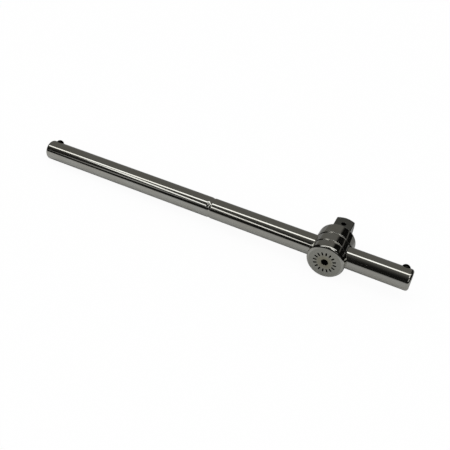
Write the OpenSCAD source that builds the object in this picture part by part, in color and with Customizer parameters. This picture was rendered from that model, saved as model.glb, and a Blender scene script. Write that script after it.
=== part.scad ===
// Sliding T-bar handle: a round bar slides through a turned head that ends in a square drive.
// The origin is the centre of the head's shoulder face, where the square begins.
// +Y runs along the head's axis towards the tip of the square, and X runs along the bar.

/* [Square drive] */
// Width across the flats of the square
drive_flats = 12.7; // [10:0.1:13]
// Diameter that the corners of the square are turned down to
drive_corner_d = 17.5; // [14.5:0.1:17.9]
// Length of the square from the shoulder to its tip
drive_l = 17.5; // [15:0.1:22]
// Diameter of the flat at the tip
drive_tip_d = 11.4; // [8:0.1:12.6]
// Length of the cone turned on the tip
drive_tip_l = 2.3; // [0.5:0.1:3]

/* [Head] */
// Diameter of the head
head_d = 25.7; // [23:0.1:32]
// Length of the head from its end face to the shoulder
head_l = 26.8; // [25.5:0.1:34]
// Distance from the shoulder back to the axis of the bar
bar_back = 14.4; // [13:0.1:15.5]
// Radius of the rounded edge around the end face
face_edge_r = 2; // [0.3:0.1:2.4]
// Radius of the rounded edge around the shoulder
shoulder_edge_r = 1.6; // [0.3:0.1:2.5]
// Distance from the shoulder back to the groove nearer the square
near_groove_back = 10.7; // [8:0.1:12]
// Distance from the shoulder back to the groove nearer the end face
far_groove_back = 19.1; // [16:0.1:20.5]
// Width of both V grooves at the surface of the head
groove_w = 1.4; // [0.8:0.1:3]
// Depth of both V grooves
groove_depth = 0.7; // [0.2:0.05:0.9]
// Radial width of the countersink where the bar enters the head
mouth_chamfer = 0.4; // [0.1:0.1:1.5]

/* [End face marks] */
// Number of marks in the ring on the end face
mark_count = 16; // [8:1:24]
// Radius of the circle through the middles of the marks
mark_ring_r = 6.7; // [5.5:0.1:7.5]
// Length of a mark, outwards from the head's axis
mark_l = 2.6; // [0.6:0.1:3.2]
// Width of a mark
mark_w = 1.1; // [0.2:0.05:1.2]
// Depth of a mark
mark_depth = 0.3; // [0.1:0.05:0.6]

/* [Sliding bar] */
// Diameter of the bar
bar_d = 14.6; // [13:0.1:15]
// Length of the bar
bar_l = 285; // [240:1:330]
// Chamfer at both ends of the bar
bar_chamfer = 1.2; // [0.3:0.1:2]
// Radial running clearance between the bar and the head
bar_fit = 0.08; // [0.02:0.01:0.1]
// Where the middle of the bar lies, measured along X from the head's axis
bar_shift = -88.8; // [-95:0.1:95]
// Turn of the bar in the head: at 0 the stop balls point along +Z, at 90 along +Y
bar_turn = 45; // [0:1:180]
// Depth of the detent groove around the middle of the bar
detent_groove_depth = 0.3; // [0.1:0.05:0.8]
// Radius of the round bottom of the detent groove
detent_groove_r = 3.8; // [2.4:0.1:4]

/* [Stop balls] */
// Diameter of a stop ball
stop_ball_d = 6; // [5:0.1:6.4]
// How far a stop ball stands out of the bar
stop_ball_proud = 1.8; // [0.8:0.1:2.2]
// Distance from the end of the bar to the stop ball
stop_ball_inset = 5.6; // [5:0.1:12]
// Depth of the stop ball's hole, from the surface of the bar to the spring's seat
stop_hole_depth = 10.2; // [9:0.1:11]

/* [Detent in the head] */
// Diameter of the detent ball that bears on the bar
detent_ball_d = 4.5; // [4:0.1:5]
// Radial clearance of the detent ball in its hole, which opens in the end face
detent_fit = 0.1; // [0.02:0.01:0.1]
// Length of the detent hole beyond the bar's bore, up to the spring's seat
detent_hole_l = 11.5; // [10:0.1:12]

/* [Lock ball in the square] */
// Diameter of the lock ball
lock_ball_d = 5; // [4:0.1:5.4]
// How far the lock ball stands out of the square
lock_ball_proud = 1; // [0.4:0.1:1.3]
// Distance from the shoulder to the lock ball
lock_ball_y = 9.8; // [9:0.1:11]
// Diameter of the release hole, opposite the lock ball
release_hole_d = 3.4; // [2:0.1:3.6]
// Depth of the release hole, from the flat to the spring's seat
release_hole_depth = 2.8; // [1.5:0.1:3]

/* [Ball seats and springs] */
// Radial clearance around a stop ball or a lock ball
ball_fit = 0.03; // [0.01:0.01:0.06]
// Gap between a ball and the surface or spring that it rests on
seat_gap = 0.02; // [0.01:0.01:0.05]
// Radius of the wire of the stop springs
stop_wire_r = 0.3; // [0.2:0.01:0.35]
// Mean radius of the coils of the stop springs
stop_coil_r = 2.2; // [1.5:0.1:2.3]
// Radius of the wire of the detent spring
detent_wire_r = 0.25; // [0.15:0.01:0.3]
// Mean radius of the coils of the detent spring
detent_coil_r = 1.7; // [1.2:0.1:1.8]
// Radius of the wire of the lock spring
lock_wire_r = 0.25; // [0.15:0.01:0.25]
// Mean radius of the coils of the lock spring
lock_coil_r = 2.05; // [1.9:0.05:2.1]
// Turns in each spring
spring_turns = 6; // [5:1:7]

/* [Hidden] */
$fn = 96;

chrome_colour = [0.78, 0.78, 0.76];
ball_colour = [0.3, 0.3, 0.32];
spring_colour = [0.5, 0.5, 0.52];

// Cuts run past the surface that they open through by this much
overcut = 1;
// Drilled holes end in a cone with this slope, from its rim to its point
drill_slope = 0.6;
// Points around a spring's wire, and rings of points in one turn
wire_sides = 6;
rings_per_turn = 16;
// The closed turns at a spring's ends rise by this many wire diameters
closed_rise = 1.1;

head_r = head_d / 2;
bar_r = bar_d / 2;
bore_r = bar_r + bar_fit;
drive_half = drive_flats / 2;

stop_ball_r = stop_ball_d / 2;
stop_hole_r = stop_ball_r + ball_fit;
stop_ball_z = bar_r + stop_ball_proud - stop_ball_r;
stop_seat_z = bar_r - stop_hole_depth;
stop_ball_x = bar_l / 2 - stop_ball_inset;

detent_ball_r = detent_ball_d / 2;
detent_hole_r = detent_ball_r + detent_fit;
detent_ball_y = bar_r + seat_gap + detent_ball_r - bar_back;
detent_seat_y = bar_r + detent_hole_l - bar_back;

lock_ball_r = lock_ball_d / 2;
lock_hole_r = lock_ball_r + ball_fit;
lock_ball_z = drive_half + lock_ball_proud - lock_ball_r;
lock_seat_z = drive_half - release_hole_depth;

// Height of the centre of a spring's end turn above the centre of the ball that sits in it
function nest(ball_r, coil_r, wire_r) = sqrt(pow(ball_r + wire_r + seat_gap, 2) - pow(coil_r, 2));

// Height of a spring's wire after a number of turns, with one closed turn at each end
function coil_height(turn, turns, closed, open) =
    closed * min(turn, 1) + open * min(max(turn - 1, 0), turns - 2) + closed * max(turn - turns + 1, 0);

// Places what is drawn along +Z on the head's axis, with Z = 0 at the shoulder
module along_head() {
    rotate([-90, 0, 0]) children();
}

// Places what is drawn around the middle of the bar, with the stop balls towards +Z
module along_bar() {
    translate([bar_shift, -bar_back, 0]) rotate([-bar_turn, 0, 0]) children();
}

// A drilled blind hole that starts at Z = 0 and runs up to a conical point
module drilled_hole(r, h) {
    cylinder(r = r, h = h);
    translate([0, 0, h]) cylinder(r1 = r, r2 = 0, h = r * drill_slope);
}

// The hole of a ball that a rolled-in lip keeps: the ball's centre is at the origin, the lip is
// above it, and the hole runs down to the spring's seat
module ball_hole(r, h) {
    sphere(r = r);
    rotate([180, 0, 0]) cylinder(r = r, h = h);
}

// A coil spring that stands on Z = 0 and is h high, with its wire swept as rings of points
module coil_spring(coil_r, wire_r, h) {
    closed = 2 * wire_r * closed_rise;
    open = (h - 2 * wire_r - 2 * closed) / (spring_turns - 2);
    rings = spring_turns * rings_per_turn;
    points = [
        for (ring = [0 : rings], side = [0 : wire_sides - 1])
            let (turn = ring / rings_per_turn, around = side * 360 / wire_sides)
            let (r = coil_r + wire_r * cos(around), z = coil_height(turn, spring_turns, closed, open))
            [r * cos(turn * 360), r * sin(turn * 360), wire_r + z + wire_r * sin(around)]
    ];
    walls = [
        for (ring = [0 : rings - 1], side = [0 : wire_sides - 1])
            let (next = (side + 1) % wire_sides, low = ring * wire_sides, high = low + wire_sides)
            [low + side, high + side, high + next, low + next]
    ];
    first_end = [for (side = [0 : wire_sides - 1]) side];
    last_end = [for (side = [wire_sides - 1 : -1 : 0]) rings * wire_sides + side];
    polyhedron(points = points, faces = concat(walls, [first_end, last_end]), convexity = 10);
}

// Outline of the head, from its axis to its surface, with the shoulder at Y = 0
module head_outline() {
    translate([0, -head_l]) square([head_r - face_edge_r, head_l]);
    square_l = head_l - face_edge_r - shoulder_edge_r;
    translate([0, face_edge_r - head_l]) square([head_r, square_l]);
    translate([0, -shoulder_edge_r - overcut]) square([head_r - shoulder_edge_r, shoulder_edge_r + overcut]);
    translate([head_r - face_edge_r, face_edge_r - head_l]) circle(r = face_edge_r);
    translate([head_r - shoulder_edge_r, -shoulder_edge_r]) circle(r = shoulder_edge_r);
}

// The square with turned corners and a turned tip, rooted in the head
module square_drive() {
    corner_r = drive_corner_d / 2;
    tip_r = drive_tip_d / 2;
    intersection() {
        translate([-drive_half, -overcut, -drive_half]) cube([drive_flats, drive_l + overcut, drive_flats]);
        along_head() rotate_extrude() polygon([
            [0, -overcut], [corner_r, -overcut], [corner_r, drive_l - drive_tip_l], [tip_r, drive_l], [0, drive_l]
        ]);
    }
}

// A V groove around the head, this far back from the shoulder
module head_groove(back) {
    reach = groove_w / 2 * (1 + overcut / groove_depth);
    along_head() rotate_extrude() translate([head_r, -back])
        polygon([[-groove_depth, 0], [overcut, -reach], [overcut, reach]]);
}

// The bore for the bar, countersunk at both mouths
module bar_bore() {
    translate([0, -bar_back, 0]) {
        rotate([0, 90, 0]) cylinder(r = bore_r, h = head_d + 2 * overcut, center = true);
        for (side = [-1, 1]) rotate([0, side * 90, 0]) translate([0, 0, head_r - mouth_chamfer])
            cylinder(r1 = bore_r, r2 = bore_r + mouth_chamfer + overcut, h = mouth_chamfer + overcut);
    }
}

// The detent hole, drilled from the end face, across the bar's bore and on towards the square
module detent_hole() {
    start = -head_l - overcut;
    along_head() translate([0, 0, start]) drilled_hole(detent_hole_r, detent_seat_y - start);
}

// The lock ball's hole and the release hole that meets it from the opposite flat
module lock_hole() {
    translate([0, lock_ball_y, 0]) {
        translate([0, 0, -lock_ball_z]) rotate([180, 0, 0]) ball_hole(lock_hole_r, lock_seat_z + lock_ball_z);
        cylinder(d = release_hole_d, h = drive_half + overcut);
    }
}

// A ring of plain marks cut into the end face
module face_marks() {
    along_head() for (mark = [0 : mark_count - 1]) rotate([0, 0, mark * 360 / mark_count])
        translate([mark_ring_r - mark_l / 2, -mark_w / 2, -head_l - overcut])
            cube([mark_l, mark_w, mark_depth + overcut]);
}

module drive_head() {
    color(chrome_colour) difference() {
        union() {
            along_head() rotate_extrude() head_outline();
            square_drive();
        }
        head_groove(near_groove_back);
        head_groove(far_groove_back);
        bar_bore();
        detent_hole();
        lock_hole();
        face_marks();
    }
}

module head_detent_ball() {
    color(ball_colour) translate([0, detent_ball_y, 0]) sphere(r = detent_ball_r);
}

module head_detent_spring() {
    foot_y = detent_ball_y + nest(detent_ball_r, detent_coil_r, detent_wire_r) - detent_wire_r;
    color(spring_colour) along_head() translate([0, 0, foot_y])
        coil_spring(detent_coil_r, detent_wire_r, detent_seat_y - foot_y);
}

module drive_lock_ball() {
    color(ball_colour) translate([0, lock_ball_y, -lock_ball_z]) sphere(r = lock_ball_r);
}

module drive_lock_spring() {
    foot_z = nest(lock_ball_r, lock_coil_r, lock_wire_r) - lock_ball_z - lock_wire_r;
    color(spring_colour) translate([0, lock_ball_y, foot_z])
        coil_spring(lock_coil_r, lock_wire_r, lock_seat_z - foot_z);
}

// The bar's outline, from its axis to its surface, along its whole length
module bar_outline() {
    polygon([
        [0, -bar_l / 2], [bar_r - bar_chamfer, -bar_l / 2], [bar_r, bar_chamfer - bar_l / 2],
        [bar_r, bar_l / 2 - bar_chamfer], [bar_r - bar_chamfer, bar_l / 2], [0, bar_l / 2]
    ]);
}

module sliding_bar() {
    color(chrome_colour) along_bar() difference() {
        rotate([0, 90, 0]) rotate_extrude() difference() {
            bar_outline();
            translate([bar_r + detent_groove_r - detent_groove_depth, 0]) circle(r = detent_groove_r);
        }
        for (side = [-1, 1]) translate([side * stop_ball_x, 0, stop_ball_z])
            ball_hole(stop_hole_r, stop_ball_z - stop_seat_z);
    }
}

// A stop ball near the left (-1) or right (1) end of the bar
module stop_ball(side) {
    color(ball_colour) along_bar() translate([side * stop_ball_x, 0, stop_ball_z]) sphere(r = stop_ball_r);
}

// The spring under a stop ball
module stop_spring(side) {
    top_z = stop_ball_z - nest(stop_ball_r, stop_coil_r, stop_wire_r) + stop_wire_r;
    color(spring_colour) along_bar() translate([side * stop_ball_x, 0, stop_seat_z])
        coil_spring(stop_coil_r, stop_wire_r, top_z - stop_seat_z);
}

module left_stop_ball() {
    stop_ball(-1);
}

module left_stop_spring() {
    stop_spring(-1);
}

module right_stop_ball() {
    stop_ball(1);
}

module right_stop_spring() {
    stop_spring(1);
}

drive_head();
head_detent_ball();
head_detent_spring();
drive_lock_ball();
drive_lock_spring();
sliding_bar();
left_stop_ball();
left_stop_spring();
right_stop_ball();
right_stop_spring();
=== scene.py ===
"""Looks of a chromed sliding T-bar handle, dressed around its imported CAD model.

Everything is in metres in the model's own frame: X runs along the bar, +Y towards the tip of the square,
and Z up.
"""

import math

import bpy
from mathutils import Matrix, Vector


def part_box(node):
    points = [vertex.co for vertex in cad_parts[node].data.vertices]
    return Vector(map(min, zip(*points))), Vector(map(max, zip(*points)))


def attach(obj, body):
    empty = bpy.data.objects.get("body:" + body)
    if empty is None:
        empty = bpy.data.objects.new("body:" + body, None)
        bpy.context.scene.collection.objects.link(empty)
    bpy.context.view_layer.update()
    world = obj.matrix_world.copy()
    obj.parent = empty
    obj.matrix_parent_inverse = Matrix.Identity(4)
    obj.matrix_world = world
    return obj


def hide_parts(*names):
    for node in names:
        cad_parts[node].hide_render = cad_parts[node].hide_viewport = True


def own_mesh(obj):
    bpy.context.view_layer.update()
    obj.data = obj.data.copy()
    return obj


MM = 0.001

# Turned solids have this many segments around, balls half as many, and an arc of an outline this many steps
SEGMENTS = 256
ARC_STEPS = 8

# Head. Its end face's edge is a run of arcs, each (angle it turns to, radius), from the head's side to the
# face. Its grooves are given by how far back from the shoulder they are.
FACE_EDGE = ((14, 0.8 * MM), (36, 3.5 * MM), (58, 0.6 * MM), (77, 4 * MM), (90, 0.4 * MM))
SHOULDER_EDGE_R = 1.6 * MM
GROOVE_BACKS = (19.1 * MM, 10.7 * MM)
GROOVE_W = 1.4 * MM
GROOVE_DEPTH = 0.7 * MM
GROOVE_LIP_R = 0.5 * MM
GROOVE_BOTTOM_R = 0.45 * MM
BORE_R = 7.38 * MM
BORE_COUNTERSINK = 0.4 * MM
DETENT_HOLE_R = 2.35 * MM
BORE_EDGE_R = 0.5 * MM

# Marks on the end face
MARK_COUNT = 16
MARK_RING_R = 6.7 * MM
MARK_L = 2.6 * MM
MARK_W = 1.1 * MM
MARK_DEPTH = 0.3 * MM

# Square drive: half its width across the flats, its corners and the cone at its tip, then what is rounded
DRIVE_HALF = 6.35 * MM
DRIVE_CORNER_R = 8.75 * MM
DRIVE_TIP_R = 5.7 * MM
DRIVE_TIP_L = 2.3 * MM
DRIVE_EDGE_BLEND = 0.3 * MM
DRIVE_TIP_EDGE_R = 0.3 * MM
DRIVE_TIP_STEPS = 32
DRIVE_SEGMENTS = 360
DRIVE_ROOT_R = 0.5 * MM
RELEASE_HOLE_R = 1.7 * MM
HOLE_EDGE = 0.15 * MM

# Bar
BAR_CHAMFER = 1.2 * MM
BAR_EDGE_R = 1.9 * MM
DETENT_GROOVE_R = 3.8 * MM
DETENT_GROOVE_DEPTH = 0.3 * MM
DETENT_GROOVE_LIP_R = 3 * MM
STOP_HOLE_DEPTH = 10.2 * MM

# Balls: the room around each in its hole, and how finely they are drawn
BALL_FIT = 0.03 * MM
BALL_RINGS = 48

# Springs: the radii of their coils and wires, their turns and how finely they are drawn, how far a closed
# turn rises in wire diameters, and the gap between a ball and the turn that it sits in
STOP_COIL_R = 2.2 * MM
STOP_WIRE_R = 0.3 * MM
DETENT_COIL_R = 1.7 * MM
DETENT_WIRE_R = 0.25 * MM
LOCK_COIL_R = 2.05 * MM
LOCK_WIRE_R = 0.25 * MM
SPRING_TURNS = 6
SPRING_WIRE_SIDES = 16
SPRING_RINGS_PER_TURN = 48
CLOSED_TURN_RISE = 1.1
SEAT_GAP = 0.02 * MM

# Solids' edges sharper than this stay sharp, and lengths under the second value are nothing
SHARP_ANGLE = math.radians(30)
TINY = 1e-9

# Cuts run past the surface that they open through by this much, and drilled holes end in a cone this steep
OVERCUT = 1 * MM
DRILL_SLOPE = 0.6

# Colours of the metals
CHROME = (0.55, 0.55, 0.51, 1)
CHROME_SMUDGED = (0.515, 0.505, 0.455, 1)
# The square is painted darker than the rest of the chrome: painted shade for the shadowed floor that it
# reflects
SQUARE_SHADED_CHROME = (0.265, 0.27, 0.25, 1)
# Painted shade in the head's grooves: a darker colour on their walls
GROOVE_SHADE = (0.36, 0.35, 0.31, 1)
# Painted shade at the bore's mouths, where the bar goes into the head
BORE_SHADE = (0.06, 0.057, 0.05, 1)
FACE_CHROME = (0.42, 0.42, 0.375, 1)
FACE_BROWN_TINT = (0.36, 0.345, 0.27, 1)
# Near black for the end face's marks, the hole in it and the release hole: painted shade inside the holes,
# and in the marks partly a dark fill and partly painted shade
BLACK_FILL_AND_SHADE = (0.015, 0.014, 0.012, 1)
# The balls' steel is painted near black: painted shade for the dark room that they reflect
BALL_SHADE_DARK = (0.01, 0.01, 0.0095, 1)
BALL_SHADE_LIGHT = (0.022, 0.021, 0.019, 1)
BALL_SHADE_EDGE = (0.02, 0.02, 0.02, 1)
WIRE_DARK = (0.22, 0.21, 0.19, 1)
WIRE_LIGHT = (0.42, 0.41, 0.39, 1)

# Noise patches to the metre along X, Y and Z, and for the head's rings along the head and out from it
BAR_SMUDGES = (45, 130, 130)
BAR_LINES = (9, 900, 900)
BAR_SCRATCHES = (160, 5200, 4300)
HEAD_SMUDGES = (170, 170, 170)
HEAD_RINGS = (1500, 1500, 1)
HEAD_SCRATCHES = (3800, 300, 4600)
BALL_FILM = (600, 600, 600)
BALL_SCRATCHES = (900, 9000, 7000)
WIRE_FILM = (900, 900, 900)
WIRE_GRAIN = (9000, 9000, 9000)

# Where in its noise a smudge's colour, a smudge's dullness and a scratch begin and are full
SMUDGE_COLOUR = (0.35, 0.7)
SMUDGE_DULL = (0.4, 0.75)
SCRATCH = (0.7, 0.78)
BALL_SCRATCH = (0.68, 0.76)

# Roughness of each metal, and what smudges, lines, scratches, the end face and dark places add to it
BAR_ROUGH = 0.035
HEAD_ROUGH = 0.04
BALL_ROUGH = 0.06
WIRE_ROUGH = 0.2
SMUDGE_ROUGH = 0.05
LINE_ROUGH = 0.03
SCRATCH_ROUGH = 0.2
FACE_ROUGH = 0.1
DARK_ROUGH = 0.4
BALL_FILM_ROUGH = 0.1
WIRE_GRAIN_ROUGH = 0.3
GROOVE_DARK = 0.25

# Heights of the fine surface detail, and a scratch's depth as a share of the chrome's
CHROME_RELIEF = 0.002 * MM
BALL_RELIEF = 0.003 * MM
WIRE_RELIEF = 0.005 * MM
SCRATCH_DEPTH = 0.3

# Zones on the head, each from where it is not to where it is full. Depths under the end face:
FACE_ZONE = (0.05 * MM, 0.02 * MM)
BELOW_FACE_ZONE = (0.04 * MM, 0.1 * MM)
MARK_ZONE = (0.5 * MM, 0.4 * MM)
# Distances out from the head's axis, for what is cut into the end face, the hole and the brownish tint
CUT_ZONE = (8.6 * MM, 8.4 * MM)
HOLE_ZONE = (2.6 * MM, 2.5 * MM)
BROWN_TINT_ZONE = (8.5 * MM, 5 * MM)
BROWN_TINT_WOBBLE = 3 * MM
# Distances along the head from its shoulder, for the hole and the square
HOLE_REACH = (0, -5 * MM)
SQUARE_ZONE = (0.05 * MM, 0.15 * MM)
# The release hole: distances from its axis, and depths under the square's flat
RELEASE_ZONE = (2.65 * MM, 2.6 * MM)
RELEASE_DEPTHS = (0.02 * MM, 0.1 * MM)
# The grooves: past their sides and under the head's surface. The bore: past its wall.
GROOVE_SIDE_FADE = 0.05 * MM
GROOVE_DEPTHS = (0.05 * MM, 0.15 * MM)
BORE_ZONE = (0.5 * MM, 0.3 * MM)

# Camera, with its aim given from the middle of the bar's box
CAMERA_AZIMUTH = math.radians(23.86)
CAMERA_ELEVATION = math.radians(39.34)
CAMERA_ROLL = math.radians(4.84)
CAMERA_DISTANCE = 411.5 * MM
CAMERA_AIM = Vector((11.3, 0.03, -10.96)) * MM
CAMERA_LENS = 46.14
CAMERA_SENSOR = 36
CAMERA_CLIP = 0.01

# Turns what is drawn along Z to run along the bar or along the head
ALONG_BAR = Matrix.Rotation(math.pi / 2, 4, "Y")
ALONG_HEAD = Matrix.Rotation(-math.pi / 2, 4, "X")

# Studio: the floor's size, the ceiling's height, the even light, and the greys that the metal reflects
FLOOR_R = 3
FLOOR_SIDES = 96
CEILING = 6
WORLD_LEVEL = 0.7
FLOOR_GREY = 0.46
FLOOR_SHADOW = 0.06
ROOM_GREY = 0.152
ROOM_DARK = 0.01
ROOM_WARMTH = (1, 0.975, 0.92, 1)
WHITE = (1, 1, 1, 1)

# How the floor's grey fades behind the object, towards the camera and along the bar: from one place to
# another, and from one level to another
# These are painted shadow behind the object and towards the head, and painted light near the bar, on the grey
# that the metal reflects
FLOOR_BEHIND = (0, 0.05, FLOOR_GREY, 0.45 * FLOOR_GREY)
FLOOR_NEAR = (-0.35, -0.02, 0.62, 1.12)
FLOOR_ALONG = (-0.2, 0.02, 1.06, 0.92)

# The room's light behind the object and its dark sides: a direction, and how the light fades towards it
ROOM_BEHIND = (0.15, 0.95, 0.25)
ROOM_BEHIND_FADE = (-0.7, 0.35, ROOM_DARK, ROOM_GREY)
ROOM_RIGHT = (1, 0.2, 0)
ROOM_RIGHT_FADE = (0.2, 0.36, 1, 0.03)
ROOM_LEFT = (-1, 0, 0)
ROOM_LEFT_FADE = (0.73, 0.8, 1, 0.05)

# A thin lit line in the room, which the head's dark side reflects: its plane, and the middle of its run
LINE_PLANE = (0.389, 0.136, -0.911)
LINE_FADE = (0.05, 0.01, 0, 0.12)
LINE_MIDDLE = (0.525, 0.776, 0.34)
LINE_RUN = (math.cos(math.radians(13)), 0.99)

# The lamps in the ceiling: each one's start, end, width and radiance
LAMPS = {
    "tube_across": ((-1.1, -0.375), (0.7, 0.3), 0.2, 1.8),
    "tube_towards_camera": ((-0.74, -0.47), (-0.3, -1.9), 0.22, 1.5),
    "far_strip": ((-2.3, -2.8), (-0.8, -1.6), 0.45, 0.3),
    "box_on_the_right": ((0.1, -0.35), (0.5, -0.35), 0.48, 1.3),
    "screen_on_the_right": ((0.42, -1.9), (1.4, -1.9), 2.2, 0.55),
}

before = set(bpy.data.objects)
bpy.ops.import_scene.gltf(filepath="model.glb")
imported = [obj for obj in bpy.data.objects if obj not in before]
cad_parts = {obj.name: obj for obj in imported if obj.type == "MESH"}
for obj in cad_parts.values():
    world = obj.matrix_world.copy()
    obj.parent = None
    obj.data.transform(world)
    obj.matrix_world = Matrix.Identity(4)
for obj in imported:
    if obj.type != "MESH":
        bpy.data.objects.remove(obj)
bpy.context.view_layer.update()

BAR_LOW, BAR_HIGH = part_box("sliding_bar")
BAR_MIDDLE = (BAR_LOW + BAR_HIGH) / 2
BAR_L = BAR_HIGH.x - BAR_LOW.x
BAR_R = (BAR_HIGH.z - BAR_LOW.z) / 2
HEAD_LOW, HEAD_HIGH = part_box("drive_head")
HEAD_R = HEAD_HIGH.z
HEAD_L = -HEAD_LOW.y
DRIVE_L = HEAD_HIGH.y


def centre_of(node):
    """The middle of a CAD node's box, and half its width along X."""
    low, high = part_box(node)
    return (low + high) / 2, (high.x - low.x) / 2


LOCK_BALL, LOCK_BALL_R = centre_of("drive_lock_ball")
LEFT_BALL, STOP_BALL_R = centre_of("left_stop_ball")
RIGHT_BALL, _ = centre_of("right_stop_ball")

# The CAD's balls, and the body that each rides on
BALLS = {
    "left_stop_ball": "left_ball",
    "right_stop_ball": "right_ball",
    "head_detent_ball": "detent_ball",
    "drive_lock_ball": "lock_ball",
}


# ---------------------------------------------------------------- outlines and meshes


def arc(centre, radius, start, end, steps=ARC_STEPS):
    """Points on an arc around centre, from one angle to another in degrees."""
    angles = [math.radians(start + (end - start) * i / steps) for i in range(steps + 1)]
    return [(centre[0] + radius * math.cos(a), centre[1] + radius * math.sin(a)) for a in angles]


def rounded(points):
    """An outline through (r, t, radius) corners, each rounded to its radius."""
    outline = []
    for i, (r, t, radius) in enumerate(points):
        corner = Vector((r, t))
        if not radius:
            outline.append((r, t))
            continue
        before = (Vector(points[i - 1][:2]) - corner).normalized()
        after = (Vector(points[i + 1][:2]) - corner).normalized()
        half = before.angle(after) / 2
        centre = corner + (before + after).normalized() * radius / math.sin(half)
        first = corner + before * radius / math.tan(half) - centre
        last = corner + after * radius / math.tan(half) - centre
        turn = first.angle_signed(last)
        for step in range(ARC_STEPS + 1):
            point = Matrix.Rotation(-turn * step / ARC_STEPS, 2) @ first + centre
            outline.append((point.x, point.y))
    return outline


def groove(surface_r, middle, radius, depth, lip_r):
    """The outline of a round-bottomed groove with rounded lips, in a surface at this radius."""
    centre_r = surface_r + radius - depth
    rise = centre_r - surface_r + lip_r
    reach = math.sqrt((radius + lip_r) ** 2 - rise**2)
    slope = math.degrees(math.atan2(reach, rise))
    return (
        arc((surface_r - lip_r, middle - reach), lip_r, 0, slope)
        + arc((centre_r, middle), radius, slope - 180, -slope - 180, 2 * ARC_STEPS)
        + arc((surface_r - lip_r, middle + reach), lip_r, -slope, 0)
    )


def solid(name, points, faces, place):
    """A mesh object at the origin, with its points moved by place."""
    mesh = bpy.data.meshes.new(name)
    mesh.from_pydata(points, [], faces)
    mesh.transform(place)
    mesh.validate()
    piece = bpy.data.objects.new(name, mesh)
    bpy.context.scene.collection.objects.link(piece)
    return piece


def skin(name, rings, place):
    """A closed solid through rings of points. A ring of one point closes an end."""
    points = [point for ring in rings for point in ring]
    faces = []
    first = 0
    for low, high in zip(rings, rings[1:]):
        second = first + len(low)
        sides = max(len(low), len(high))
        for i in range(sides):
            j = (i + 1) % sides
            if len(low) == 1:
                faces.append((first, second + j, second + i))
            elif len(high) == 1:
                faces.append((first + i, first + j, second))
            else:
                faces.append((first + i, first + j, second + j, second + i))
        first = second
    return solid(name, points, faces, place)


def circle(radius, height, segments):
    """A ring of points around Z, which is one point where the radius is nothing."""
    if radius < TINY:
        return [(0, 0, height)]
    angles = [2 * math.pi * i / segments for i in range(segments)]
    return [(radius * math.cos(a), radius * math.sin(a), height) for a in angles]


def lathe(name, outline, place, segments=SEGMENTS):
    """A turned solid. Its outline runs from one end of the axis to the other, as (radius, distance along)."""
    rings = []
    last = None
    for r, t in outline:
        if last is None or math.dist(last, (r, t)) > TINY:
            rings.append(circle(r, t, segments))
            last = (r, t)
    return skin(name, rings, place)


def combine(piece, tool, operation):
    """Unites the tool with the piece or cuts it away, and deletes the tool."""
    modifier = piece.modifiers.new(operation, "BOOLEAN")
    modifier.operation = operation
    modifier.solver = "EXACT"
    modifier.object = tool
    graph = bpy.context.evaluated_depsgraph_get()
    mesh = bpy.data.meshes.new_from_object(piece.evaluated_get(graph))
    piece.modifiers.clear()
    piece.data = mesh
    bpy.data.objects.remove(tool)


def shade(piece):
    """Smooth shading, except across sharp edges."""
    piece.data.shade_smooth()
    piece.data.set_sharp_from_angle(angle=SHARP_ANGLE)


# ---------------------------------------------------------------- head


def face_edge():
    """The worn edge around the end face, from the face out to the head's side."""
    inward, along, angle = 0, 0, 0
    points = [(0, 0)]
    for end, radius in FACE_EDGE:
        for step in range(1, ARC_STEPS + 1):
            a = math.radians(angle + (end - angle) * step / ARC_STEPS)
            start = math.radians(angle)
            points.append((
                inward + radius * (math.cos(start) - math.cos(a)),
                along + radius * (math.sin(a) - math.sin(start)),
            ))
        inward, along = points[-1]
        angle = end
    return [(HEAD_R - r, along - t - HEAD_L) for r, t in reversed(points)]


def head_outline():
    """The head from its end face to its shoulder."""
    corners = [(0, -HEAD_L, 0)] + [(r, t, 0) for r, t in face_edge()]
    for back in GROOVE_BACKS:
        corners.append((HEAD_R, -back - GROOVE_W / 2, GROOVE_LIP_R))
        corners.append((HEAD_R - GROOVE_DEPTH, -back, GROOVE_BOTTOM_R))
        corners.append((HEAD_R, -back + GROOVE_W / 2, GROOVE_LIP_R))
    return rounded(corners + [(HEAD_R, 0, SHOULDER_EDGE_R), (0, 0, 0)])


def smooth_min(a, b, reach):
    """The smaller of two radii, blended where they are within reach of each other."""
    closeness = max(reach - abs(a - b), 0) / reach
    return min(a, b) - closeness * closeness * reach / 4


def square_radius(angle, t):
    """How far the square's surface is from its axis, this way round and this far from the shoulder."""
    from_flat = (angle + math.pi / 4) % (math.pi / 2) - math.pi / 4
    flat = DRIVE_HALF / math.cos(from_flat)
    cone = DRIVE_TIP_R + (DRIVE_L - t) * (DRIVE_CORNER_R - DRIVE_TIP_R) / DRIVE_TIP_L
    radius = smooth_min(smooth_min(flat, DRIVE_CORNER_R, DRIVE_EDGE_BLEND), cone, DRIVE_EDGE_BLEND)
    root = max(DRIVE_ROOT_R - max(t, 0), 0)
    tip = max(t - DRIVE_L + DRIVE_TIP_EDGE_R, 0)
    radius += DRIVE_ROOT_R - math.sqrt(DRIVE_ROOT_R**2 - root**2)
    return radius - DRIVE_TIP_EDGE_R + math.sqrt(DRIVE_TIP_EDGE_R**2 - tip**2)


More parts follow.
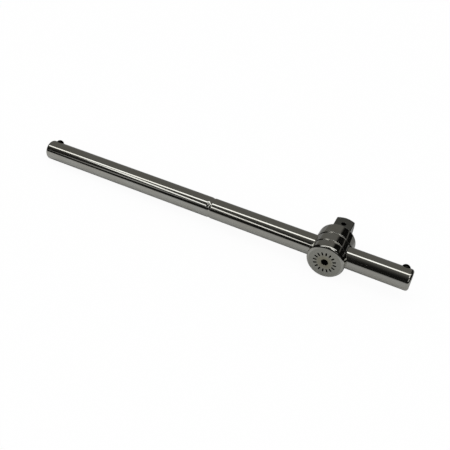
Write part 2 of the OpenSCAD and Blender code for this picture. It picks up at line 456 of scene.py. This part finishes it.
def square_drive():
    """The square from inside the head to its tip, turned down at its corners and its tip."""
    tip_start = DRIVE_L - DRIVE_TIP_L - DRIVE_EDGE_BLEND
    heights = [-OVERCUT]
    heights += [DRIVE_ROOT_R * i / ARC_STEPS for i in range(ARC_STEPS + 1)]
    heights += [tip_start + (DRIVE_L - tip_start) * i / DRIVE_TIP_STEPS for i in range(DRIVE_TIP_STEPS + 1)]
    angles = [2 * math.pi * i / DRIVE_SEGMENTS for i in range(DRIVE_SEGMENTS)]
    rings = [[(0, 0, -OVERCUT)]]
    for t in heights:
        radii = [square_radius(angle, t) for angle in angles]
        rings.append([(r * math.cos(a), r * math.sin(a), t) for r, a in zip(radii, angles)])
    rings.append([(0, 0, DRIVE_L)])
    return skin("square", rings, ALONG_HEAD)


def bore_cut():
    """The bore for the bar, countersunk at both mouths."""
    mouth = HEAD_R - BORE_COUNTERSINK
    end = HEAD_R + OVERCUT
    flare = BORE_R + BORE_COUNTERSINK + OVERCUT
    outline = rounded(
        [(0, -end, 0), (flare, -end, 0), (BORE_R, -mouth, BORE_EDGE_R)]
        + [(BORE_R, mouth, BORE_EDGE_R), (flare, end, 0), (0, end, 0)]
    )
    return lathe("bore", outline, Matrix.Translation((0, BAR_MIDDLE.y, 0)) @ ALONG_BAR)


def detent_hole_cut():
    """The hole that is drilled from the end face to the detent ball and its spring."""
    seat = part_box("head_detent_spring")[1].y
    start = -HEAD_L - OVERCUT
    rim = -HEAD_L + HOLE_EDGE
    outline = [(0, start), (DETENT_HOLE_R + HOLE_EDGE + OVERCUT, start), (DETENT_HOLE_R, rim)]
    outline += [(DETENT_HOLE_R, seat), (0, seat + DETENT_HOLE_R * DRILL_SLOPE)]
    return lathe("detent_hole", outline, ALONG_HEAD)


def ball_hole_cut(middle, radius, axis, seat):
    """A ball's hole under its rolled-in lip, down to a seat this far under the ball. The axis points out."""
    outline = [(0, -seat), (radius, -seat)] + arc((0, 0), radius, 0, 90, 3 * ARC_STEPS)
    outline[-1] = (0, radius)
    place = Matrix.Translation(middle) @ axis.to_track_quat("Z", "Y").to_matrix().to_4x4()
    return lathe("ball_hole", outline, place)


def release_hole_cut():
    """The release hole opposite the lock ball."""
    place = Matrix.Translation((0, LOCK_BALL.y, 0))
    outline = [(0, LOCK_BALL.z), (RELEASE_HOLE_R, LOCK_BALL.z), (RELEASE_HOLE_R, DRIVE_HALF - HOLE_EDGE)]
    outline += [(RELEASE_HOLE_R + HOLE_EDGE + OVERCUT, DRIVE_HALF + OVERCUT), (0, DRIVE_HALF + OVERCUT)]
    return lathe("release_hole", outline, place)


def face_marks_cut():
    """The ring of plain marks in the end face, with round ends."""
    straight = (MARK_L - MARK_W) / 2
    outer = arc((straight, 0), MARK_W / 2, -90, 90)
    inner = arc((-straight, 0), MARK_W / 2, 90, 270)
    outline = outer + inner
    bottom = MARK_DEPTH - HEAD_L
    points = []
    faces = []
    for mark in range(MARK_COUNT):
        turn = Matrix.Rotation(2 * math.pi * mark / MARK_COUNT, 4, "Z")
        first = len(points)
        count = len(outline)
        for t in (-HEAD_L - OVERCUT, bottom):
            points += [turn @ Vector((MARK_RING_R + r, side, t)) for r, side in outline]
        faces.append(tuple(first + i for i in reversed(range(count))))
        faces.append(tuple(first + count + i for i in range(count)))
        for i in range(count):
            j = (i + 1) % count
            faces.append((first + i, first + j, first + count + j, first + count + i))
    return solid("marks", points, faces, ALONG_HEAD)


def make_head():
    """The turned head and its square drive, in one piece."""
    head = lathe("head", head_outline(), ALONG_HEAD)
    combine(head, square_drive(), "UNION")
    combine(head, bore_cut(), "DIFFERENCE")
    combine(head, detent_hole_cut(), "DIFFERENCE")
    lock_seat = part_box("drive_lock_spring")[1].z - LOCK_BALL.z
    lock_hole = ball_hole_cut(LOCK_BALL, LOCK_BALL_R + BALL_FIT, Vector((0, 0, -1)), lock_seat)
    combine(head, lock_hole, "DIFFERENCE")
    combine(head, release_hole_cut(), "DIFFERENCE")
    combine(head, face_marks_cut(), "DIFFERENCE")
    shade(head)
    head.data.materials.append(head_chrome())
    return head


# ---------------------------------------------------------------- bar


def bar_outline():
    """The bar from its left end to its right end, with the detent groove at its middle."""
    half = BAR_L / 2
    left = [(0, -half, 0), (BAR_R - BAR_CHAMFER, -half, BAR_EDGE_R), (BAR_R, BAR_CHAMFER - half, BAR_EDGE_R)]
    right = [(r, -t, radius) for r, t, radius in reversed(left)]
    detent = groove(BAR_R, 0, DETENT_GROOVE_R, DETENT_GROOVE_DEPTH, DETENT_GROOVE_LIP_R)
    middle = [(r, t, 0) for r, t in detent]
    return rounded(left + middle + right)


def make_bar():
    """The sliding bar with its detent groove and its two ball holes."""
    bar = lathe("bar", bar_outline(), Matrix.Translation(BAR_MIDDLE) @ ALONG_BAR)
    for ball in (LEFT_BALL, RIGHT_BALL):
        axis = Vector((0, ball.y - BAR_MIDDLE.y, ball.z))
        seat = STOP_HOLE_DEPTH - BAR_R + axis.length
        hole = ball_hole_cut(ball, STOP_BALL_R + BALL_FIT, axis.normalized(), seat)
        combine(bar, hole, "DIFFERENCE")
    shade(bar)
    bar.data.materials.append(bar_chrome())
    return bar


# ---------------------------------------------------------------- balls and springs


def make_ball(name, middle, radius, steel):
    """A ball, turned about the bar's direction."""
    outline = arc((0, 0), radius, -90, 90, BALL_RINGS)
    outline[0], outline[-1] = (0, -radius), (0, radius)
    ball = lathe(name, outline, Matrix.Translation(middle) @ ALONG_BAR, SEGMENTS // 2)
    shade(ball)
    ball.data.materials.append(steel)
    return ball


def coil_height(turn, closed, open_rise):
    """How high the wire is after a number of turns, with one closed turn at each end."""
    middle = min(max(turn - 1, 0), SPRING_TURNS - 2)
    return closed * min(turn, 1) + open_rise * middle + closed * max(turn - SPRING_TURNS + 1, 0)


def make_spring(name, foot, axis, height, coil_r, wire_r, steel):
    """A coil spring that stands on foot and points along axis. Its wire ends in blunt points."""
    closed = 2 * wire_r * CLOSED_TURN_RISE
    open_rise = (height - 2 * wire_r - 2 * closed) / (SPRING_TURNS - 2)
    count = SPRING_TURNS * SPRING_RINGS_PER_TURN
    rings = []
    for i in range(count + 1):
        turn = i / SPRING_RINGS_PER_TURN
        angle = 2 * math.pi * turn
        middle = wire_r + coil_height(turn, closed, open_rise)
        ring = []
        for r, rise in arc((0, 0), wire_r, 0, -360, SPRING_WIRE_SIDES)[:-1]:
            reach = coil_r + r
            ring.append((reach * math.cos(angle), reach * math.sin(angle), middle + rise))
        rings.append(ring)
    first = (coil_r, -wire_r / 2, wire_r)
    last = (coil_r, wire_r / 2, height - wire_r)
    place = Matrix.Translation(foot) @ axis.to_track_quat("Z", "Y").to_matrix().to_4x4()
    spring = skin(name, [[first]] + rings + [[last]], place)
    shade(spring)
    spring.data.materials.append(steel)
    return spring


def nest(ball_r, coil_r, wire_r):
    """How far above a ball's middle the end turn that it sits in is."""
    return math.sqrt((ball_r + wire_r + SEAT_GAP) ** 2 - coil_r**2)


def dress_spring(node, body, foot, axis, height, coil_r, wire_r, steel):
    """Replaces a CAD spring with a finer one on the given body."""
    spring = make_spring(node.replace("spring", "coil"), foot, axis, height, coil_r, wire_r, steel)
    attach(spring, body)
    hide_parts(node)
    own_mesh(spring)


def dress_stop_springs(steel):
    """The springs under the two stop balls, from their seats deep in the bar."""
    for side, ball in (("left", LEFT_BALL), ("right", RIGHT_BALL)):
        axis = Vector((0, ball.y - BAR_MIDDLE.y, ball.z))
        ball_height = axis.length
        axis.normalize()
        seat_height = BAR_R - STOP_HOLE_DEPTH
        foot = Vector((ball.x, BAR_MIDDLE.y, 0)) + axis * seat_height
        height = ball_height - nest(STOP_BALL_R, STOP_COIL_R, STOP_WIRE_R) + STOP_WIRE_R - seat_height
        dress_spring(
            f"{side}_stop_spring", "bar", foot, axis, height,
            STOP_COIL_R, STOP_WIRE_R, steel,
        )


def dress_head_springs(steel):
    """The springs of the detent ball and the lock ball, from their seats in the head."""
    low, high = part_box("head_detent_spring")
    dress_spring(
        "head_detent_spring", "head", Vector((0, high.y, 0)), Vector((0, -1, 0)),
        high.y - low.y, DETENT_COIL_R, DETENT_WIRE_R, steel,
    )
    low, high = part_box("drive_lock_spring")
    dress_spring(
        "drive_lock_spring", "head", Vector((0, LOCK_BALL.y, high.z)), Vector((0, 0, -1)),
        high.z - low.z, LOCK_COIL_R, LOCK_WIRE_R, steel,
    )


# ---------------------------------------------------------------- shader nodes


def feed(tree, socket, value):
    """Gives an input another node's output, or a plain value."""
    if isinstance(value, bpy.types.NodeSocket):
        tree.links.new(value, socket)
    else:
        socket.default_value = value


def calculate(tree, operation, *terms):
    """The result of a math node. Each term is a number or another node's output."""
    node = tree.nodes.new("ShaderNodeMath")
    node.operation = operation
    for socket, term in zip(node.inputs, terms):
        feed(tree, socket, term)
    return node.outputs[0]


def vector_math(tree, operation, vector, number):
    """The output vector of a vector math node that works on a vector with a fixed one."""
    node = tree.nodes.new("ShaderNodeVectorMath")
    node.operation = operation
    tree.links.new(vector, node.inputs[0])
    node.inputs[1].default_value = number
    return node.outputs["Vector"]


def part_along(tree, vector, direction):
    """How far a vector reaches along a direction."""
    node = tree.nodes.new("ShaderNodeVectorMath")
    node.operation = "DOT_PRODUCT"
    tree.links.new(vector, node.inputs[0])
    node.inputs[1].default_value = Vector(direction).normalized()
    return node.outputs["Value"]


def ease(tree, value, start, end, low=0, high=1):
    """A smooth step from low, where the value is at start, to high, where it is at end."""
    node = tree.nodes.new("ShaderNodeMapRange")
    node.interpolation_type = "SMOOTHSTEP"
    tree.links.new(value, node.inputs["Value"])
    for name, number in (("From Min", start), ("From Max", end), ("To Min", low), ("To Max", high)):
        node.inputs[name].default_value = number
    return node.outputs["Result"]


def noise(tree, vector, patches, detail):
    """A noise between 0 and 1, with this many patches to the vector's unit along X, Y and Z."""
    node = tree.nodes.new("ShaderNodeTexNoise")
    tree.links.new(vector_math(tree, "MULTIPLY", vector, patches), node.inputs["Vector"])
    node.inputs["Scale"].default_value = 1
    node.inputs["Detail"].default_value = detail
    return node.outputs["Fac"]


def blend(tree, factor, first, second):
    """A colour between two, which are colours or other nodes' outputs."""
    node = tree.nodes.new("ShaderNodeMix")
    node.data_type = "RGBA"
    tree.links.new(factor, node.inputs[0])
    feed(tree, node.inputs[6], first)
    feed(tree, node.inputs[7], second)
    return node.outputs[2]


def bump(tree, height, depth):
    """The normal of a surface whose height varies between 0 and 1 times the depth."""
    node = tree.nodes.new("ShaderNodeBump")
    node.inputs["Distance"].default_value = depth
    tree.links.new(height, node.inputs["Height"])
    return node.outputs["Normal"]


def dullness(tree, base, *layers):
    """A roughness: its base, and then for each layer a mask and how much that adds."""
    for mask, share in layers:
        base = calculate(tree, "MULTIPLY_ADD", mask, share, base)
    return base


def metal(name):
    """A new metal: the material, its node tree, its shader and the place on the piece."""
    material = bpy.data.materials.new(name)
    material.use_nodes = True
    tree = material.node_tree
    shader = tree.nodes["Principled BSDF"]
    shader.inputs["Metallic"].default_value = 1
    return material, tree, shader, tree.nodes.new("ShaderNodeTexCoord").outputs["Object"]


def turned(tree, place, axis):
    """Where a point is on a piece turned about an axis through the origin: along it, and out from it."""
    along = part_along(tree, place, axis)
    across = vector_math(tree, "MULTIPLY", place, [1 - abs(part) for part in axis])
    node = tree.nodes.new("ShaderNodeVectorMath")
    node.operation = "LENGTH"
    tree.links.new(across, node.inputs[0])
    return along, node.outputs["Value"]


def triple(tree, x, y, z):
    """A vector of three parts, which are numbers or other nodes' outputs."""
    node = tree.nodes.new("ShaderNodeCombineXYZ")
    for socket, part in zip(node.inputs, (x, y, z)):
        feed(tree, socket, part)
    return node.outputs[0]


# ---------------------------------------------------------------- materials


def bar_chrome():
    """Bright chrome on a ground bar: faint lines along it, fine scratches and smudges."""
    material, tree, shader, place = metal("bar_chrome")
    place = vector_math(tree, "SUBTRACT", place, BAR_MIDDLE)
    smudges = noise(tree, place, BAR_SMUDGES, 4)
    lines = noise(tree, place, BAR_LINES, 3)
    scratches = noise(tree, place, BAR_SCRATCHES, 1)
    scratched = ease(tree, scratches, *SCRATCH)
    colour = blend(tree, ease(tree, smudges, *SMUDGE_COLOUR), CHROME, CHROME_SMUDGED)
    tree.links.new(colour, shader.inputs["Base Color"])
    smudged = (ease(tree, smudges, *SMUDGE_DULL), SMUDGE_ROUGH)
    dull = dullness(tree, BAR_ROUGH, smudged, (lines, LINE_ROUGH), (scratched, SCRATCH_ROUGH))
    tree.links.new(dull, shader.inputs["Roughness"])
    height = calculate(tree, "SUBTRACT", lines, calculate(tree, "MULTIPLY", scratched, SCRATCH_DEPTH))
    tree.links.new(bump(tree, height, CHROME_RELIEF), shader.inputs["Normal"])
    return material


def cut_masks(tree, place, depth, along, out):
    """Where the end face's marks, the hole in it and the release hole are."""
    below_face = calculate(
        tree, "MULTIPLY", ease(tree, depth, *BELOW_FACE_ZONE), ease(tree, out, *CUT_ZONE)
    )
    in_marks = calculate(tree, "MULTIPLY", below_face, ease(tree, depth, *MARK_ZONE))
    in_hole = calculate(tree, "MULTIPLY", below_face, ease(tree, out, *HOLE_ZONE))
    in_hole = calculate(tree, "MULTIPLY", in_hole, ease(tree, along, *HOLE_REACH))
    from_release = vector_math(tree, "SUBTRACT", place, (0, LOCK_BALL.y, 0))
    _, from_release = turned(tree, from_release, (0, 0, 1))
    height = calculate(tree, "ABSOLUTE", part_along(tree, place, (0, 0, 1)))
    start, end = (DRIVE_HALF - under for under in RELEASE_DEPTHS)
    in_release = calculate(
        tree, "MULTIPLY", ease(tree, from_release, *RELEASE_ZONE), ease(tree, height, start, end)
    )
    return in_marks, in_hole, in_release


def groove_mask(tree, along, out):
    """Where the head's two V grooves are."""
    to_groove = [calculate(tree, "ABSOLUTE", calculate(tree, "ADD", along, back)) for back in GROOVE_BACKS]
    nearest = calculate(tree, "MINIMUM", *to_groove)
    near_groove = ease(tree, nearest, GROOVE_W / 2, GROOVE_W / 2 - GROOVE_SIDE_FADE)
    start, end = (HEAD_R - under for under in GROOVE_DEPTHS)
    return calculate(tree, "MULTIPLY", near_groove, ease(tree, out, start, end))


def bore_mask(tree, place):
    """Where the wall of the bore for the bar is."""
    from_bore = vector_math(tree, "SUBTRACT", place, (0, BAR_MIDDLE.y, 0))
    _, from_bore = turned(tree, from_bore, (1, 0, 0))
    start, end = (BORE_R + past for past in BORE_ZONE)
    return ease(tree, from_bore, start, end)


def head_chrome():
    """Chrome on the head: faint turning rings, a satin end face with a brownish tint, black marks, and
    painted shade on the square, in the grooves, at the bore's mouths, in the holes and in part of the marks.
    """
    material, tree, shader, place = metal("head_chrome")
    along, out = turned(tree, place, (0, 1, 0))
    depth = calculate(tree, "ADD", along, HEAD_L)
    smudges = noise(tree, place, HEAD_SMUDGES, 4)
    rings = noise(tree, triple(tree, along, out, 0), HEAD_RINGS, 3)
    scratches = noise(tree, place, HEAD_SCRATCHES, 1)
    scratched = ease(tree, scratches, *SCRATCH)
    on_face = ease(tree, depth, *FACE_ZONE)
    cuts = cut_masks(tree, place, depth, along, out)
    in_groove = groove_mask(tree, along, out)
    plain = blend(tree, ease(tree, smudges, *SMUDGE_COLOUR), CHROME, CHROME_SMUDGED)
    # Painted shade: the square gets the darker chrome
    plain = blend(tree, ease(tree, along, *SQUARE_ZONE), plain, SQUARE_SHADED_CHROME)
    # A brownish tint on the end face, inside a wobbling ring round the hole
    brown_tint = ease(tree, calculate(tree, "MULTIPLY_ADD", smudges, BROWN_TINT_WOBBLE, out), *BROWN_TINT_ZONE)
    colour = blend(tree, on_face, plain, blend(tree, brown_tint, FACE_CHROME, FACE_BROWN_TINT))
    # Painted shade in the grooves
    colour = blend(tree, in_groove, colour, GROOVE_SHADE)
    # Painted shade at the bore's mouths
    colour = blend(tree, bore_mask(tree, place), colour, BORE_SHADE)
    # Painted shade in the holes, and a dark fill with painted shade in the marks
    for cut in cuts:
        colour = blend(tree, cut, colour, BLACK_FILL_AND_SHADE)
    tree.links.new(colour, shader.inputs["Base Color"])
    dark = calculate(tree, "MULTIPLY", in_groove, GROOVE_DARK)
    for cut in cuts:
        dark = calculate(tree, "MAXIMUM", dark, cut)
    smudged = (ease(tree, smudges, *SMUDGE_DULL), SMUDGE_ROUGH)
    worked = [(on_face, FACE_ROUGH), (dark, DARK_ROUGH), (rings, LINE_ROUGH), (scratched, SCRATCH_ROUGH)]
    tree.links.new(dullness(tree, HEAD_ROUGH, smudged, *worked), shader.inputs["Roughness"])
    height = calculate(tree, "SUBTRACT", rings, calculate(tree, "MULTIPLY", scratched, SCRATCH_DEPTH))
    tree.links.new(bump(tree, height, CHROME_RELIEF), shader.inputs["Normal"])
    return material


def ball_steel():
    """Steel painted near black, as painted shade for the dark room that the balls reflect, with a little oil
    and fine scratches, for all the balls.
    """
    material, tree, shader, place = metal("oiled_ball_steel")
    film = noise(tree, place, BALL_FILM, 4)
    scratched = ease(tree, noise(tree, place, BALL_SCRATCHES, 1), *BALL_SCRATCH)
    tree.links.new(blend(tree, film, BALL_SHADE_DARK, BALL_SHADE_LIGHT), shader.inputs["Base Color"])
    shader.inputs["Specular Tint"].default_value = BALL_SHADE_EDGE
    dull = dullness(tree, BALL_ROUGH, (film, BALL_FILM_ROUGH), (scratched, SCRATCH_ROUGH))
    tree.links.new(dull, shader.inputs["Roughness"])
    tree.links.new(bump(tree, film, BALL_RELIEF), shader.inputs["Normal"])
    return material


def spring_steel():
    """Drawn spring wire: grey, fairly dull and unevenly oiled, for all the springs."""
    material, tree, shader, place = metal("oiled_spring_steel")
    film = noise(tree, place, WIRE_FILM, 4)
    grain = noise(tree, place, WIRE_GRAIN, 2)
    tree.links.new(blend(tree, film, WIRE_DARK, WIRE_LIGHT), shader.inputs["Base Color"])
    tree.links.new(dullness(tree, WIRE_ROUGH, (grain, WIRE_GRAIN_ROUGH)), shader.inputs["Roughness"])
    tree.links.new(bump(tree, grain, WIRE_RELIEF), shader.inputs["Normal"])
    return material


# ---------------------------------------------------------------- studio


def floor_tilt():
    """The turn about Y of a flat floor that touches the head and the bar's long end."""
    reach = math.hypot(BAR_LOW.x, BAR_R)
    return math.asin(HEAD_R / reach) - math.atan2(BAR_R, -BAR_LOW.x)


def floor_material():
    """Pale matt floor: white to the camera with a faint shadow, and in the metal a shaded grey with painted
    shadow and light.
    """
    material = bpy.data.materials.new("floor")
    material.use_nodes = True
    tree = material.node_tree
    tree.nodes.clear()
    path = tree.nodes.new("ShaderNodeLightPath").outputs
    seen = calculate(tree, "ADD", path["Is Camera Ray"], path["Is Transmission Ray"])
    place = tree.nodes.new("ShaderNodeTexCoord").outputs["Object"]
    y = part_along(tree, place, (0, 1, 0))
    # Painted shadow behind the object and towards the head, and painted light near the bar
    grey = calculate(tree, "MULTIPLY", ease(tree, y, *FLOOR_BEHIND), ease(tree, y, *FLOOR_NEAR))
    along_bar = ease(tree, part_along(tree, place, (1, 0, 0)), *FLOOR_ALONG)
    grey = calculate(tree, "MULTIPLY", grey, along_bar)
    glow = tree.nodes.new("ShaderNodeEmission")
    matt = tree.nodes.new("ShaderNodeBsdfDiffuse")
    both = tree.nodes.new("ShaderNodeAddShader")
    output = tree.nodes.new("ShaderNodeOutputMaterial")
    tree.links.new(calculate(tree, "MULTIPLY", seen, 1 - FLOOR_SHADOW), glow.inputs["Strength"])
    shadow_share = (FLOOR_SHADOW, FLOOR_SHADOW, FLOOR_SHADOW, 1)
    tree.links.new(blend(tree, seen, grey, shadow_share), matt.inputs["Color"])
    tree.links.new(glow.outputs[0], both.inputs[0])
    tree.links.new(matt.outputs[0], both.inputs[1])
    tree.links.new(both.outputs[0], output.inputs["Surface"])
    return material


def make_floor():
    """A wide round floor under the object."""
    angle = floor_tilt()
    place = Matrix.Rotation(angle, 4, "Y") @ Matrix.Translation((0, 0, -HEAD_R))
    floor = solid("floor", circle(FLOOR_R, 0, FLOOR_SIDES), [tuple(range(FLOOR_SIDES))], place)
    floor.data.materials.append(floor_material())


def make_world():
    """White behind the object, an even light on it, and a dim room for the metal to reflect."""
    world = bpy.data.worlds.new("studio")
    bpy.context.scene.world = world
    world.use_nodes = True
    tree = world.node_tree
    tree.nodes.clear()
    sky = tree.nodes.new("ShaderNodeTexCoord").outputs["Generated"]
    path = tree.nodes.new("ShaderNodeLightPath").outputs
    grey = ease(tree, part_along(tree, sky, ROOM_BEHIND), *ROOM_BEHIND_FADE)
    right = ease(tree, part_along(tree, sky, ROOM_RIGHT), *ROOM_RIGHT_FADE)
    left = ease(tree, part_along(tree, sky, ROOM_LEFT), *ROOM_LEFT_FADE)
    off_line = calculate(tree, "ABSOLUTE", part_along(tree, sky, LINE_PLANE))
    along_line = ease(tree, part_along(tree, sky, LINE_MIDDLE), *LINE_RUN)
    line = calculate(tree, "MULTIPLY", ease(tree, off_line, *LINE_FADE), along_line)
    room = calculate(tree, "MULTIPLY_ADD", grey, calculate(tree, "MULTIPLY", right, left), line)
    in_metal = calculate(tree, "MULTIPLY", room, path["Is Glossy Ray"])
    not_metal = calculate(tree, "SUBTRACT", 1, path["Is Glossy Ray"])
    elsewhere = calculate(tree, "MULTIPLY", not_metal, WORLD_LEVEL)
    behind = calculate(tree, "MAXIMUM", elsewhere, path["Is Camera Ray"])
    background = tree.nodes.new("ShaderNodeBackground")
    output = tree.nodes.new("ShaderNodeOutputWorld")
    tree.links.new(blend(tree, path["Is Glossy Ray"], WHITE, ROOM_WARMTH), background.inputs["Color"])
    tree.links.new(calculate(tree, "ADD", in_metal, behind), background.inputs["Strength"])
    tree.links.new(background.outputs[0], output.inputs["Surface"])


def ceiling_lamp(name, start, end, width, radiance):
    """A lamp in the ceiling. Its two ends and its width are shares of the ceiling's height."""
    start, end = Vector(start) * CEILING, Vector(end) * CEILING
    run = end - start
    lamp = bpy.data.lights.new(name, "AREA")
    lamp.shape = "RECTANGLE"
    lamp.size = run.length
    lamp.size_y = width * CEILING
    lamp.energy = radiance * math.pi * lamp.size * lamp.size_y
    piece = bpy.data.objects.new(name, lamp)
    middle = (start + end) / 2
    piece.location = (middle.x, middle.y, CEILING)
    piece.rotation_euler = (0, 0, math.atan2(run.y, run.x))
    bpy.context.scene.collection.objects.link(piece)


def make_camera():
    """The camera, aimed past the middle of the bar and rolled about its view."""
    a, e = CAMERA_AZIMUTH, CAMERA_ELEVATION
    back = Vector((math.sin(a) * math.cos(e), -math.cos(a) * math.cos(e), math.sin(e)))
    right = Vector((0, 0, 1)).cross(back).normalized()
    up = back.cross(right)
    turn = Matrix.Rotation(CAMERA_ROLL, 4, "Z")
    camera = bpy.data.cameras.new("camera")
    camera.lens = CAMERA_LENS
    camera.sensor_width = CAMERA_SENSOR
    camera.clip_start = CAMERA_CLIP
    piece = bpy.data.objects.new("camera", camera)
    aim = BAR_MIDDLE + CAMERA_AIM
    axes = Matrix((right, up, back)).transposed().to_4x4()
    piece.matrix_world = Matrix.Translation(aim + back * CAMERA_DISTANCE) @ axes @ turn
    bpy.context.scene.collection.objects.link(piece)
    bpy.context.scene.camera = piece


make_camera()
make_floor()
make_world()
for lamp_name, layout in LAMPS.items():
    ceiling_lamp(lamp_name, *layout)

bar = make_bar()
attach(bar, "bar")
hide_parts("sliding_bar")
head = make_head()
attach(head, "head")
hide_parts("drive_head")
steel = ball_steel()
for node, body in BALLS.items():
    ball = make_ball(node.replace("ball", "steel_ball"), *centre_of(node), steel)
    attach(ball, body)
    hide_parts(node)
wire = spring_steel()
dress_stop_springs(wire)
dress_head_springs(wire)

bpy.context.scene.view_settings.view_transform = "Standard"
